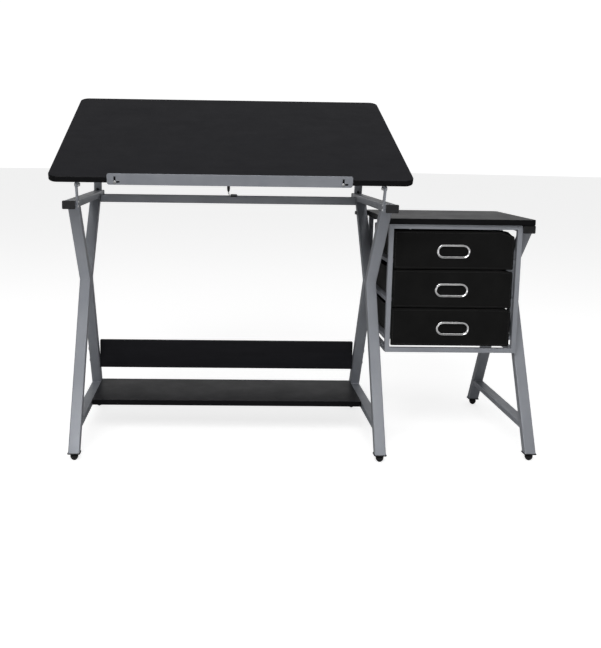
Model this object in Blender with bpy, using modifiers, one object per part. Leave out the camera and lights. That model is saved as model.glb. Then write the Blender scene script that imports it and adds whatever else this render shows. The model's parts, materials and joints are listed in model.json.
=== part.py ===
"""Drafting table with a tilting top, a lower shelf and a side table with three fabric drawers.

Units are metres, +Z is up, +X is to the user's right and -Y is towards the user.
The origin is on the floor under the middle of the whole table.
"""

import math

import bmesh
import bpy
from mathutils import Euler, Matrix, Vector

# Driving dimensions
GAP = 0.0003
OVERALL_WIDTH = 1.270
FRONT_EDGE_Y = -0.2878

TOP_WIDTH = 0.902
TOP_DEPTH = 0.603
TOP_THICKNESS = 0.016
TOP_CORNER_RADIUS = 0.024
REST_TILT = math.radians(21.3)
FRONT_EDGE_Z = 0.739
PIVOT_SETBACK = 0.015
PIVOT_DROP = 0.012

TUBE_WIDTH = 0.0295
TUBE_HEIGHT = 0.0195
LEG_DEPTH = 0.022
TUBE_WALL = 0.0014
TUBE_CORNER = 0.0025
CORNER_STEPS = 3
SIDE_TUBE_TOP = 0.6785
SIDE_TUBE_START = 0.014
SIDE_TUBE_END = 0.556
FOOT_RAIL_TOP = 0.092
FOOT_RAIL_HEIGHT = 0.016
LEG_END_Z = 0.022
STEM_RADIUS = 0.004
PLUG_FLANGE = 0.0025

LEFT_FRAME_X = -0.584
MIDDLE_FRAME_X = 0.216
RIGHT_FRAME_X = 0.6180

SIDE_TOP_LEFT = 0.2325
SIDE_TOP_FRONT = 0.156
SIDE_TOP_DEPTH = 0.332
SIDE_TOP_Z = 0.6338
SIDE_TOP_THICKNESS = 0.0153

SHELF_TOP = 0.102
SHELF_THICKNESS = 0.015
SHELF_FRONT = 0.250
SHELF_DEPTH = 0.224
PANEL_BOTTOM = 0.146
PANEL_HEIGHT = 0.085
PANEL_THICKNESS = 0.012
PANEL_MIDDLE = 0.449

RAIL_FRONT = 0.472
RAIL_TOP = 0.671
RAIL_HEIGHT = 0.0238
RAIL_DEPTH = 0.020

CABINET_LEFT = 0.2422
CABINET_WIDTH = 0.3591
CABINET_FRONT = 0.166
CABINET_DEPTH = 0.310
CABINET_BOTTOM = 0.2682
CABINET_TUBE = 0.0125
DRAWER_NAMES = ("upper", "middle", "lower")
DRAWER_PITCH = 0.1054
DRAWER_HEIGHT = 0.1027
FIRST_DRAWER_TOP = 0.6003
DRAWER_SKIN = 0.005
# The drawers sit nearer to the left side of their frame.
DRAWER_LEFT_CLEARANCE = 0.002
DRAWER_RIGHT_CLEARANCE = 0.0075
FLOOR_RISE = 0.024
RUNNER_HEIGHT = 0.009
RUNNER_WIDTH = 0.010
HANDLE_WIDTH = 0.0905
HANDLE_HEIGHT = 0.0373
HANDLE_RIM = 0.0058
HANDLE_THICKNESS = 0.0018
# How far each grip ring sits to the right of its drawer's middle, and its share of the way down the front.
HANDLE_SHIFT = {"upper": -0.0017, "middle": -0.0024, "lower": 0.0053}
HANDLE_LEVEL = 0.53


def world_y(distance):
    """The Y of a place this far behind the main top's front edge."""
    return FRONT_EDGE_Y + distance


def clear_scene():
    for obj in list(bpy.data.objects):
        bpy.data.objects.remove(obj, do_unlink=True)


def new_collection(name, hidden=False):
    collection = bpy.data.collections.new(name)
    bpy.context.scene.collection.children.link(collection)
    collection.hide_render = hidden
    return collection


def new_material(name, colour, roughness, metallic=0.0):
    material = bpy.data.materials.new(name)
    material.use_nodes = True
    shader = material.node_tree.nodes["Principled BSDF"]
    shader.inputs["Base Color"].default_value = (*colour, 1.0)
    shader.inputs["Roughness"].default_value = roughness
    shader.inputs["Metallic"].default_value = metallic
    material.diffuse_color = (*colour, 1.0)
    return material


clear_scene()
TABLE = new_collection("drafting_table")
CUTTERS = new_collection("cutters", hidden=True)

PAINT = new_material("silver_paint", (0.36, 0.38, 0.41), 0.42, 0.35)
BOARD = new_material("charcoal_board", (0.028, 0.027, 0.031), 0.45)
PLASTIC = new_material("black_plastic", (0.018, 0.018, 0.019), 0.5)
FABRIC = new_material("black_fabric", (0.011, 0.011, 0.011), 0.9)
CHROME = new_material("chrome", (0.8, 0.8, 0.8), 0.12, 1.0)
STEEL = new_material("zinc_steel", (0.55, 0.55, 0.56), 0.35, 1.0)

# Local X to world Y, local Y to world Z, local Z to world X.
SIDEWAYS = Euler((math.radians(90), 0, math.radians(90))).to_matrix().to_4x4()
# Local X stays, local Y to world Z, local Z to world -Y.
UPRIGHT = Euler((math.radians(90), 0, 0)).to_matrix().to_4x4()


def add_object(name, data, material, place=None, parent=None, collection=TABLE):
    obj = bpy.data.objects.new(name, data)
    collection.objects.link(obj)
    if material:
        data.materials.append(material)
    obj.parent = parent
    obj.matrix_local = place or Matrix.Identity(4)
    return obj


def add_axis(name, position, rotation_x=0.0, parent=None):
    """An empty on a joint's axis, which carries the pieces that the joint moves."""
    empty = bpy.data.objects.new(name, None)
    empty.empty_display_size = 0.03
    TABLE.objects.link(empty)
    empty.parent = parent
    empty.location = position
    empty.rotation_euler.x = rotation_x
    return empty


def rounded_outline(width, height, radius, steps=4, centre=(0.0, 0.0)):
    """A rectangle with round corners, counter-clockwise."""
    corners = ((1, 1, 0), (-1, 1, 90), (-1, -1, 180), (1, -1, 270))
    points = []
    for side_x, side_y, start in corners:
        middle_x = centre[0] + side_x * (width / 2 - radius)
        middle_y = centre[1] + side_y * (height / 2 - radius)
        for step in range(steps + 1):
            angle = math.radians(start + 90 * step / steps)
            points.append((middle_x + radius * math.cos(angle), middle_y + radius * math.sin(angle)))
    return points


def soften(obj, width, segments=2):
    """Rounds the long edges of a flat piece, after welding a curve's loose caps."""
    weld = obj.modifiers.new("weld", "WELD")
    weld.merge_threshold = 0.00001
    bevel = obj.modifiers.new("bevel", "BEVEL")
    bevel.width = width
    bevel.segments = segments
    bevel.limit_method = "ANGLE"
    bevel.angle_limit = math.radians(50)


def flat_piece(name, outlines, thickness, material, place, parent=None, edge=0.0):
    """A flat outline with any holes, centred on its own plane."""
    curve = bpy.data.curves.new(name, "CURVE")
    curve.dimensions = "2D"
    curve.fill_mode = "BOTH"
    curve.extrude = thickness / 2
    for outline in outlines:
        spline = curve.splines.new("POLY")
        spline.points.add(len(outline) - 1)
        for point, (x, y) in zip(spline.points, outline):
            point.co = (x, y, 0.0, 1.0)
        spline.use_cyclic_u = True
    obj = add_object(name, curve, material, place, parent)
    if edge:
        soften(obj, edge)
    return obj


def box(name, low, high, material, parent=None, edge=0.0, collection=TABLE):
    """A block between two corners, which are in its parent's own axes."""
    mesh = bpy.data.meshes.new(name)
    shape = bmesh.new()
    bmesh.ops.create_cube(shape, size=1.0)
    size = Vector(high) - Vector(low)
    bmesh.ops.scale(shape, vec=size, verts=shape.verts)
    shape.to_mesh(mesh)
    shape.free()
    middle = (Vector(low) + Vector(high)) / 2
    obj = add_object(name, mesh, material, Matrix.Translation(middle), parent, collection)
    if edge:
        soften(obj, edge)
    return obj


def add_cutter(target, low, high, parent=None, operation="DIFFERENCE"):
    """A hidden block that is cut from, or joined to, the target."""
    cutter = box(f"{target.name}_{operation.lower()}", low, high, None, parent, collection=CUTTERS)
    cutter.hide_render = True
    cutter.display_type = "WIRE"
    boolean = target.modifiers.new("cut", "BOOLEAN")
    boolean.operation = operation
    boolean.object = cutter
    return cutter


def turned(name, profile, material, position, parent=None, steps=20):
    """A turned piece from a profile of (radius, height) points that runs down its outer side."""
    mesh = bpy.data.meshes.new(name)
    edges = [(index, index + 1) for index in range(len(profile) - 1)]
    mesh.from_pydata([(radius, 0.0, z) for radius, z in profile], edges, [])
    obj = add_object(name, mesh, material, Matrix.Translation(position), parent)
    screw = obj.modifiers.new("screw", "SCREW")
    screw.steps = steps
    screw.render_steps = steps
    screw.use_merge_vertices = True
    screw.merge_threshold = 0.00005
    screw.use_smooth_shade = True
    return obj


def stretch_faces(shape, first, second):
    """The ring of faces between two rings of corners."""
    for index in range(len(first)):
        beside = (index + 1) % len(first)
        shape.faces.new((first[index], first[beside], second[beside], second[index]))


def tube_rings(shape, x, stations, section):
    """One ring of corners for each station, laid on that station's cut."""
    rings = []
    for index, (y, z, cut) in enumerate(stations):
        other_y, other_z, _ = stations[1] if index == 0 else stations[index - 1]
        run = Vector((other_y - y, other_z - z)).normalized()
        across = Vector((math.cos(cut), math.sin(cut)))
        across /= abs(run.x * across.y - run.y * across.x)
        ring = []
        for u, v in section:
            ring.append(shape.verts.new((x + u, y + across.x * v, z + across.y * v)))
        rings.append(ring)
    return rings


def tube_run(name, x, stations, width, depth, corner=TUBE_CORNER, wall=TUBE_WALL):
    """A hollow tube with open ends that runs through stations in the YZ plane.

    Each station is (y, z, cut): its place and the direction of its cut in the plane, in radians from +Y.
    Neighbouring stretches meet on their shared cut, which makes a true mitre.
    """
    shape = bmesh.new()
    outside = tube_rings(shape, x, stations, rounded_outline(width, depth, corner, CORNER_STEPS))
    bore = rounded_outline(width - 2 * wall, depth - 2 * wall, corner - wall, CORNER_STEPS)
    inside = tube_rings(shape, x, stations, bore)
    for rings in (outside, inside):
        for first, second in zip(rings, rings[1:]):
            stretch_faces(shape, first, second)
    stretch_faces(shape, outside[0], inside[0])
    stretch_faces(shape, outside[-1], inside[-1])
    bmesh.ops.recalc_face_normals(shape, faces=shape.faces)
    mesh = bpy.data.meshes.new(name)
    shape.to_mesh(mesh)
    shape.free()
    mesh.shade_smooth()
    mesh.set_sharp_from_angle(angle=math.radians(40))
    return add_object(name, mesh, PAINT)


def end_cap(name, x, y_outer, y_inner, z_middle, width, height):
    """A moulded cap over the open end of a side tube."""
    place = Matrix.Translation((x, (y_outer + y_inner) / 2, z_middle)) @ UPRIGHT
    outline = rounded_outline(width, height, 0.003, 3)
    return flat_piece(name, [outline], abs(y_inner - y_outer), PLASTIC, place, edge=0.0008)


def leg_plug(name, x, y):
    """The flanged plug under a leg, with the hole for the foot's stem."""
    place = Matrix.Translation((x, y, LEG_END_Z - GAP - PLUG_FLANGE / 2))
    outline = rounded_outline(TUBE_WIDTH + 0.004, LEG_DEPTH + 0.007, 0.004, 3)
    hole_radius = STEM_RADIUS + GAP
    hole = rounded_outline(2 * hole_radius, 2 * hole_radius, hole_radius - 0.0001, 4)
    return flat_piece(name, [outline, hole], PLUG_FLANGE, PLASTIC, place)


def leveller(name, x, y):
    """A screw foot: its stem, a collar and a dome with a small flat underneath."""
    high = LEG_END_Z - PLUG_FLANGE - 2 * GAP
    stem_top = LEG_END_Z + 0.007
    dome_radius = 0.0105
    collar_radius = 0.0065
    profile = [(0.0, stem_top), (STEM_RADIUS, stem_top), (STEM_RADIUS, high)]
    profile += [(collar_radius, high), (collar_radius, high - 0.003), (dome_radius, high - 0.004)]
    dome_top = high - 0.006
    last_angle = 75
    for angle in range(15, last_angle + 1, 15):
        drop = dome_top * math.sin(math.radians(angle)) / math.sin(math.radians(last_angle))
        profile.append((dome_radius * math.cos(math.radians(angle)), dome_top - drop))
    profile.append((0.0, 0.0))
    return turned(name, profile, PLASTIC, (x, y, 0.0))


def x_frame(side, x, crossing_y, crossing_z, half_top, half_bottom, tube_top, tube_ends):
    """One side frame: two bent legs that touch at their bends, a tube on top and a rail near the floor."""
    tube_bottom = tube_top - TUBE_HEIGHT
    tube_middle = tube_top - TUBE_HEIGHT / 2
    start, end = tube_ends
    tube_run(
        f"{side}_side_tube",
        x,
        [(world_y(start), tube_middle, math.radians(90)), (world_y(end), tube_middle, math.radians(90))],
        TUBE_WIDTH,
        TUBE_HEIGHT,
    )
    cap_overlap = 0.0025
    for end_name, inner, outer in (("front", start, start - cap_overlap), ("rear", end, end + cap_overlap)):
        sign = -1 if end_name == "front" else 1
        end_cap(
            f"{side}_{end_name}_cap",
            x,
            world_y(outer + sign * GAP),
            world_y(inner + sign * GAP),
            tube_middle,
            TUBE_WIDTH + 0.0030,
            TUBE_HEIGHT + 0.0018,
        )
    leg_top = tube_bottom - GAP
    upper_angle = math.atan2(half_top, leg_top - crossing_z)
    lower_angle = math.atan2(half_bottom, crossing_z - LEG_END_Z)
    half_angle = (upper_angle + lower_angle) / 2
    bend_half = LEG_DEPTH / 2 / math.cos(half_angle)
    tip_drop = (upper_angle - lower_angle) / 2
    for name, sign in (("front_leg", -1), ("rear_leg", 1)):
        middle = crossing_y + sign * (bend_half * math.cos(tip_drop) + GAP / 2)
        top_y = crossing_y + sign * half_top
        bottom_y = crossing_y + sign * half_bottom
        stations = [
            (world_y(bottom_y), LEG_END_Z, 0.0),
            (world_y(middle), crossing_z, -sign * tip_drop),
            (world_y(top_y), leg_top, 0.0),
        ]
        tube_run(f"{side}_{name}", x, stations, TUBE_WIDTH, LEG_DEPTH)
        foot = name.split("_")[0]
        leg_plug(f"{side}_{foot}_plug", x, world_y(bottom_y))
        leveller(f"{side}_{foot}_leveller", x, world_y(bottom_y))
    foot_rail(side, x, crossing_y, crossing_z, half_bottom, middle - crossing_y)


def foot_rail(side, x, crossing_y, crossing_z, half_bottom, half_middle):
    """The low rail between a frame's two lower leg stretches, cut to their slope."""
    middle_z = FOOT_RAIL_TOP - FOOT_RAIL_HEIGHT / 2
    share = (crossing_z - middle_z) / (crossing_z - LEG_END_Z)
    leg_middle = half_middle + (half_bottom - half_middle) * share
    slope = math.atan2(half_bottom - half_middle, crossing_z - LEG_END_Z)
    reach = leg_middle - LEG_DEPTH / 2 / math.cos(slope) - GAP
    tube_run(
        f"{side}_foot_rail",
        x,
        [
            (world_y(crossing_y - reach), middle_z, math.radians(90) - slope),
            (world_y(crossing_y + reach), middle_z, math.radians(90) + slope),
        ],
        TUBE_WIDTH,
        FOOT_RAIL_HEIGHT,
    )


def base():
    common = dict(crossing_z=0.445, half_top=0.1915, half_bottom=0.236)
    ends = (SIDE_TUBE_START, SIDE_TUBE_END)
    x_frame("left", LEFT_FRAME_X, 0.287, tube_top=SIDE_TUBE_TOP, tube_ends=ends, **common)
    x_frame("middle", MIDDLE_FRAME_X, 0.287, tube_top=SIDE_TUBE_TOP, tube_ends=ends, **common)
    right_top = SIDE_TOP_Z - SIDE_TOP_THICKNESS - 0.0011
    x_frame("right", RIGHT_FRAME_X, 0.318, 0.478, 0.124, 0.249, right_top, (0.163, 0.473))


# Places between the left and middle frames
INNER_LEFT = LEFT_FRAME_X + TUBE_WIDTH / 2 + GAP
INNER_RIGHT = MIDDLE_FRAME_X - TUBE_WIDTH / 2 - GAP


def cross_members():
    box(
        "rear_rail",
        (INNER_LEFT, world_y(RAIL_FRONT), RAIL_TOP - RAIL_HEIGHT),
        (INNER_RIGHT, world_y(RAIL_FRONT + RAIL_DEPTH), RAIL_TOP),
        PAINT,
        edge=0.002,
    )
    box(
        "lower_shelf",
        (INNER_LEFT + 0.002, world_y(SHELF_FRONT), SHELF_TOP - SHELF_THICKNESS),
        (INNER_RIGHT - 0.002, world_y(SHELF_FRONT + SHELF_DEPTH), SHELF_TOP),
        BOARD,
        edge=0.001,
    )
    box(
        "back_panel",
        (INNER_LEFT, world_y(PANEL_MIDDLE - PANEL_THICKNESS / 2), PANEL_BOTTOM),
        (INNER_RIGHT, world_y(PANEL_MIDDLE + PANEL_THICKNESS / 2), PANEL_BOTTOM + PANEL_HEIGHT),
        BOARD,
        edge=0.001,
    )


# The tilt axis runs through both pivot posts. Board distances are measured from it, along the board.
PIVOT_UNDER = TOP_THICKNESS + PIVOT_DROP
PIVOT = Vector(
    (
        0.0,
        world_y(PIVOT_SETBACK * math.cos(REST_TILT) + PIVOT_UNDER * math.sin(REST_TILT)),
        FRONT_EDGE_Z + PIVOT_SETBACK * math.sin(REST_TILT) - PIVOT_UNDER * math.cos(REST_TILT),
    )
)
TOP_CENTRE_X = (LEFT_FRAME_X + MIDDLE_FRAME_X) / 2
STAY_REACH = 0.510
STAY_WIDTH = 0.0186
STAY_THICKNESS = 0.005
STAY_LENGTH = 0.262
STAY_OVERHANG = 0.004
GUIDE_DEPTH = 0.0124
GUIDE_WIDTH = 0.0224
GUIDE_ABOVE = 0.046
GUIDE_BELOW = 0.006
GUIDE_Y = PIVOT.y + STAY_REACH
GUIDE_Z = SIDE_TUBE_TOP - TUBE_HEIGHT / 2
POST_THICKNESS = 0.0045
POST_HALF_WIDTH = 0.008
POST_LEAN = 0.020
ANGLE_THICKNESS = 0.0016
ANGLE_FLANGE = 0.020
ANGLE_WEB_BELOW_AXIS = 0.006
ANGLE_END = 0.006


def tilting_top():
    """Everything that turns with the main top, in the flat board's own axes."""
    axis = add_axis("tilt_axis", PIVOT, REST_TILT)
    front = -PIVOT_SETBACK
    low = PIVOT_DROP
    centre = (TOP_CENTRE_X, front + TOP_DEPTH / 2, low + TOP_THICKNESS / 2)
    outline = rounded_outline(TOP_WIDTH, TOP_DEPTH, TOP_CORNER_RADIUS, 8)
    flat_piece("main_top", [outline], TOP_THICKNESS, BOARD, Matrix.Translation(centre), axis, edge=0.0015)
    for name, x, inward in (("left", LEFT_FRAME_X, 1), ("right", MIDDLE_FRAME_X, -1)):
        # A strip of angle iron under the board takes the pivot at the front and the stay at the rear.
        post_face = TUBE_WIDTH / 2 + GAP + POST_THICKNESS
        web_outer = x + inward * (post_face + GAP)
        web_left, web_right = sorted((web_outer, web_outer + inward * ANGLE_THICKNESS))
        rear = STAY_REACH + ANGLE_END
        angle = box(
            f"{name}_top_angle",
            (web_left, -ANGLE_END, -ANGLE_WEB_BELOW_AXIS),
            (web_right, rear, low - GAP),
            PAINT,
            axis,
        )
        left, right = sorted((web_outer, web_outer + inward * ANGLE_FLANGE))
        flange_low = low - GAP - ANGLE_THICKNESS
        add_cutter(angle, (left, -ANGLE_END, flange_low), (right, rear, low - GAP), axis, "UNION")
    return axis


def pivot_posts():
    """The two flat posts that stand on the side tubes and carry the tilt axis."""
    foot_low = SIDE_TUBE_TOP - TUBE_HEIGHT + 0.001
    for name, x, inward in (("left", LEFT_FRAME_X, 1), ("right", MIDDLE_FRAME_X, -1)):
        inner = x + inward * (TUBE_WIDTH / 2 + GAP)
        half = POST_HALF_WIDTH
        bottom_y = PIVOT.y + POST_LEAN
        round_end = [
            (PIVOT.y + half * math.cos(math.radians(angle)), PIVOT.z + half * math.sin(math.radians(angle)))
            for angle in range(0, 181, 30)
        ]
        outline = [(bottom_y - half, foot_low), (bottom_y + half, foot_low)] + round_end
        place = Matrix.Translation((inner + inward * POST_THICKNESS / 2, 0, 0)) @ SIDEWAYS
        flat_piece(f"{name}_pivot_post", [outline], POST_THICKNESS, PAINT, place, edge=0.0006)


def stay_slot(tube_name, x):
    """The slot through a side tube that its stay bar drops into."""
    tube = bpy.data.objects[tube_name]
    half_slot = GUIDE_WIDTH / 2 + 0.0005
    reach = 0.0085
    add_cutter(
        tube,
        (x - half_slot, GUIDE_Y - reach, SIDE_TUBE_TOP - TUBE_HEIGHT - 0.01),
        (x + half_slot, GUIDE_Y + reach, SIDE_TUBE_TOP + 0.01),
    )


def stays():
    """Two stay bars under the rear of the top, each sliding in a sleeve that swivels in its side tube."""
    upper_y = PIVOT.y + STAY_REACH * math.cos(REST_TILT)
    upper_z = PIVOT.z + STAY_REACH * math.sin(REST_TILT)
    lean = math.atan2(upper_y - GUIDE_Y, upper_z - GUIDE_Z)
    reach = math.hypot(upper_y - GUIDE_Y, upper_z - GUIDE_Z)
    half_width = STAY_WIDTH / 2
    half_thick = STAY_THICKNESS / 2
    running = 0.0004
    for name, tube_name, x in (
        ("left", "left_side_tube", LEFT_FRAME_X),
        ("right", "middle_side_tube", MIDDLE_FRAME_X),
    ):
        stay_slot(tube_name, x)
        axis = add_axis(f"{name}_guide_axis", (x, GUIDE_Y, GUIDE_Z), -lean)
        guide = box(
            f"{name}_stay_guide",
            (-GUIDE_WIDTH / 2, -GUIDE_DEPTH / 2, -GUIDE_BELOW),
            (GUIDE_WIDTH / 2, GUIDE_DEPTH / 2, GUIDE_ABOVE),
            PAINT,
            axis,
        )
        add_cutter(
            guide,
            (-half_width - running, -half_thick - running, -0.02),
            (half_width + running, half_thick + running, 0.06),
            axis,
        )
        top_end = reach + STAY_OVERHANG
        low = (-half_width, -half_thick, top_end - STAY_LENGTH)
        box(f"{name}_stay_bar", low, (half_width, half_thick, top_end), PAINT, axis, edge=0.0006)


def front_ledge(tilt_axis):
    """The ledge strip on the front edge, with its two L slots and the screws that it slides on."""
    length = 0.6020
    height = 0.0295
    thickness = 0.0022
    raised = 0.0097
    plate_y = -PIVOT_SETBACK - thickness / 2 - 0.0004
    middle_z = PIVOT_DROP + TOP_THICKNESS + raised - height / 2
    ledge_x = TOP_CENTRE_X - 0.0035
    outline = rounded_outline(length, height, 0.005, 4)
    slots = []
    half_stroke = 0.0024
    rise = 0.0125
    foot = 0.0095
    slot_inset = 0.021
    slot_shift = -0.002
    low = -0.0095
    for end in (-1, 1):
        left = end * (length / 2 - slot_inset) + slot_shift - half_stroke
        slots.append(
            [
                (left, low),
                (left + 2 * half_stroke + foot, low),
                (left + 2 * half_stroke + foot, low + 2 * half_stroke),
                (left + 2 * half_stroke, low + 2 * half_stroke),
                (left + 2 * half_stroke, low + rise + 2 * half_stroke),
                (left, low + rise + 2 * half_stroke),
            ]
        )
    place = Matrix.Translation((ledge_x, plate_y, middle_z)) @ UPRIGHT
    flat_piece("pencil_ledge", [outline, *slots], thickness, PAINT, place, tilt_axis)
    head_radius = 0.0042
    shank_radius = 0.0019
    shank_end = -0.0024
    screw_profile = [(0.0, 0.0021), (0.0026, 0.0019), (0.0039, 0.0009), (head_radius, 0.0)]
    screw_profile += [(shank_radius, 0.0), (shank_radius, shank_end), (0.0, shank_end)]
    for name, slot in zip(("left", "right"), slots):
        head_z = middle_z + slot[0][1] + half_stroke
        head_x = ledge_x + slot[0][0] + half_stroke
        screw = turned(f"{name}_ledge_screw", screw_profile, STEEL, (0.0, 0.0, 0.0), tilt_axis, 16)
        face_y = plate_y - thickness / 2 - GAP
        screw.matrix_local = Matrix.Translation((head_x, face_y, head_z)) @ UPRIGHT


def release_lever(tilt_axis):
    """The spring-loaded lever under the middle of the front edge: a bent wire in a sleeve, with a grip."""
    lever_x = TOP_CENTRE_X - 0.007
    behind_edge = 0.015
    under_board = 0.009
    place = (lever_x, behind_edge - PIVOT_SETBACK, PIVOT_DROP - under_board)
    axis = add_axis("lever_axis", place, -REST_TILT, tilt_axis)
    wire_radius = 0.0014
    bore = wire_radius + GAP
    wire = bpy.data.curves.new("release_lever", "CURVE")
    wire.dimensions = "3D"
    wire.bevel_depth = wire_radius
    wire.bevel_resolution = 2
    wire.use_fill_caps = True
    spline = wire.splines.new("POLY")
    route = (
        (0.0, 0.0, 0.001),
        (0.0, 0.0, -0.016),
        (0.0008, -0.0005, -0.0195),
        (0.0022, -0.0010, -0.0228),
        (0.0040, -0.0010, -0.0246),
        (0.0065, -0.0010, -0.0250),
        (0.0170, -0.0010, -0.0250),
    )
    spline.points.add(len(route) - 1)
    for point, (x, y, z) in zip(spline.points, route):
        point.co = (x, y, z, 1.0)
    add_object("release_lever", wire, STEEL, parent=axis)
    sleeve_top = 0.001
    sleeve_end = -0.0158
    belly = 0.0039
    sleeve_profile = [(bore, sleeve_top), (0.0026, sleeve_top), (belly, -0.0055), (belly, -0.0100)]
    sleeve_profile += [(0.0021, sleeve_end), (bore, sleeve_end)]
    turned("release_sleeve", sleeve_profile + sleeve_profile[:1], PLASTIC, (0.0, 0.0, 0.0), axis, 16)
    grip_profile = [(0.0, 0.0170), (0.0030, 0.0170), (0.0037, 0.0160), (0.0037, 0.0010), (0.0030, 0.0)]
    grip_profile += [(bore, 0.0), (bore, 0.0125), (0.0, 0.0125)]
    grip = turned("release_grip", grip_profile, PLASTIC, (0.0, 0.0, 0.0), axis, 16)
    along_x = Euler((0, math.radians(90), 0)).to_matrix().to_4x4()
    grip.matrix_local = Matrix.Translation((0.0050, -0.0010, -0.0250)) @ along_x


def side_table():
    right = OVERALL_WIDTH / 2
    width = right - SIDE_TOP_LEFT
    outline = rounded_outline(width, SIDE_TOP_DEPTH, 0.012, 5)
    place = Matrix.Translation(
        (
            SIDE_TOP_LEFT + width / 2,
            world_y(SIDE_TOP_FRONT + SIDE_TOP_DEPTH / 2),
            SIDE_TOP_Z - SIDE_TOP_THICKNESS / 2,
        )
    )
    flat_piece("side_top", [outline], SIDE_TOP_THICKNESS, BOARD, place, edge=0.001)


def cabinet():
    """The drawer frame that hangs under the side top."""
    top = SIDE_TOP_Z - SIDE_TOP_THICKNESS - GAP
    height = top - CABINET_BOTTOM
    middle_x = CABINET_LEFT + CABINET_WIDTH / 2
    middle_z = CABINET_BOTTOM + height / 2
    outer = rounded_outline(CABINET_WIDTH, height, 0.0018, 3)
    inner = rounded_outline(CABINET_WIDTH - 2 * CABINET_TUBE, height - 2 * CABINET_TUBE, 0.0006, 2)
    for name, distance in (
        ("cabinet_front_frame", CABINET_FRONT + CABINET_TUBE / 2),
        ("cabinet_rear_frame", CABINET_FRONT + CABINET_DEPTH - CABINET_TUBE / 2),
    ):
        place = Matrix.Translation((middle_x, world_y(distance), middle_z)) @ UPRIGHT
        flat_piece(name, [outer, inner], CABINET_TUBE, PAINT, place, edge=0.0012)
    rail_front = world_y(CABINET_FRONT + CABINET_TUBE + GAP)
    rail_rear = world_y(CABINET_FRONT + CABINET_DEPTH - CABINET_TUBE - GAP)
    for side, outer_x, inward in (("left", CABINET_LEFT, 1), ("right", CABINET_LEFT + CABINET_WIDTH, -1)):
        runner_ladder(side, outer_x, inward, rail_front, rail_rear)


def runner_ladder(side, outer_x, inward, front, rear):
    """Three drawer runners and a bottom rail, joined by an upright strip near the rear."""
    far_x = outer_x + inward * CABINET_TUBE
    low_x, high_x = sorted((outer_x, far_x))
    rails = [CABINET_BOTTOM]
    for index in range(len(DRAWER_NAMES)):
        rails.append(FIRST_DRAWER_TOP - index * DRAWER_PITCH - DRAWER_HEIGHT + FLOOR_RISE - RUNNER_HEIGHT)
    ladder = box(
        f"cabinet_{side}_runners",
        (low_x, rear - 0.004, CABINET_BOTTOM),
        (high_x, rear, rails[1] + RUNNER_HEIGHT),
        PAINT,
    )
    for index, z in enumerate(rails):
        high = z + (CABINET_TUBE if index == 0 else RUNNER_HEIGHT)
        reach = outer_x + inward * (CABINET_TUBE if index == 0 else CABINET_TUBE + RUNNER_WIDTH)
        first, second = sorted((outer_x, reach))
        add_cutter(ladder, (first, front, z), (second, rear - 0.001, high), operation="UNION")


def drawers():
    left = CABINET_LEFT + CABINET_TUBE + DRAWER_LEFT_CLEARANCE
    right = CABINET_LEFT + CABINET_WIDTH - CABINET_TUBE - DRAWER_RIGHT_CLEARANCE
    front = world_y(CABINET_FRONT - 0.001)
    rear = world_y(CABINET_FRONT + CABINET_DEPTH - CABINET_TUBE - 0.006)
    for index, name in enumerate(DRAWER_NAMES):
        high = FIRST_DRAWER_TOP - index * DRAWER_PITCH
        low = high - DRAWER_HEIGHT
        floor = low + FLOOR_RISE + 0.001
        axis = add_axis(f"{name}_drawer_axis", ((left + right) / 2, front, high))
        box_low = Vector((left, front + 0.004, floor))
        box_high = Vector((right, rear, high - 0.004))
        offset = axis.location
        drawer = box(f"{name}_drawer", box_low - offset, box_high - offset, FABRIC, axis)
        add_cutter(
            drawer,
            (left + DRAWER_SKIN - offset.x, DRAWER_SKIN, floor + DRAWER_SKIN - offset.z),
            (right - DRAWER_SKIN - offset.x, rear - DRAWER_SKIN - offset.y, 0.01),
            axis,
        )
        front_rear = DRAWER_SKIN + 0.0005
        front_low = (left - offset.x, 0.0, low - offset.z)
        front_high = (right - offset.x, front_rear, 0.0)
        add_cutter(drawer, front_low, front_high, axis, "UNION")
        handle(name, drawer, axis, low - high)


def oval(width, height, steps):
    """A bar shape with half-round ends."""
    return rounded_outline(width, height, height / 2 - 0.0001, steps)


def handle(name, drawer, axis, drop):
    """A pressed oval grip ring set in the drawer front, around a hole for the fingers."""
    middle = Matrix.Translation((HANDLE_SHIFT[name], 0.0, drop * HANDLE_LEVEL))
    hole_width = HANDLE_WIDTH - 2 * HANDLE_RIM
    hole_height = HANDLE_HEIGHT - 2 * HANDLE_RIM
    cut_depth = 0.04
    hole = oval(hole_width, hole_height, 6)
    cut = flat_piece(f"{name}_finger_hole", [hole], cut_depth, None, middle @ UPRIGHT, axis)
    convert_to_cutter(cut)
    boolean = drawer.modifiers.new("finger_hole", "BOOLEAN")
    boolean.operation = "DIFFERENCE"
    boolean.object = bpy.data.objects[f"{name}_finger_hole"]
    outer = oval(HANDLE_WIDTH, HANDLE_HEIGHT, 8)
    inner = oval(hole_width, hole_height, 8)
    place = middle @ Matrix.Translation((0.0, -HANDLE_THICKNESS / 2 - GAP, 0.0)) @ UPRIGHT
    flat_piece(f"{name}_handle", [outer, inner], HANDLE_THICKNESS, CHROME, place, axis)


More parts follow.
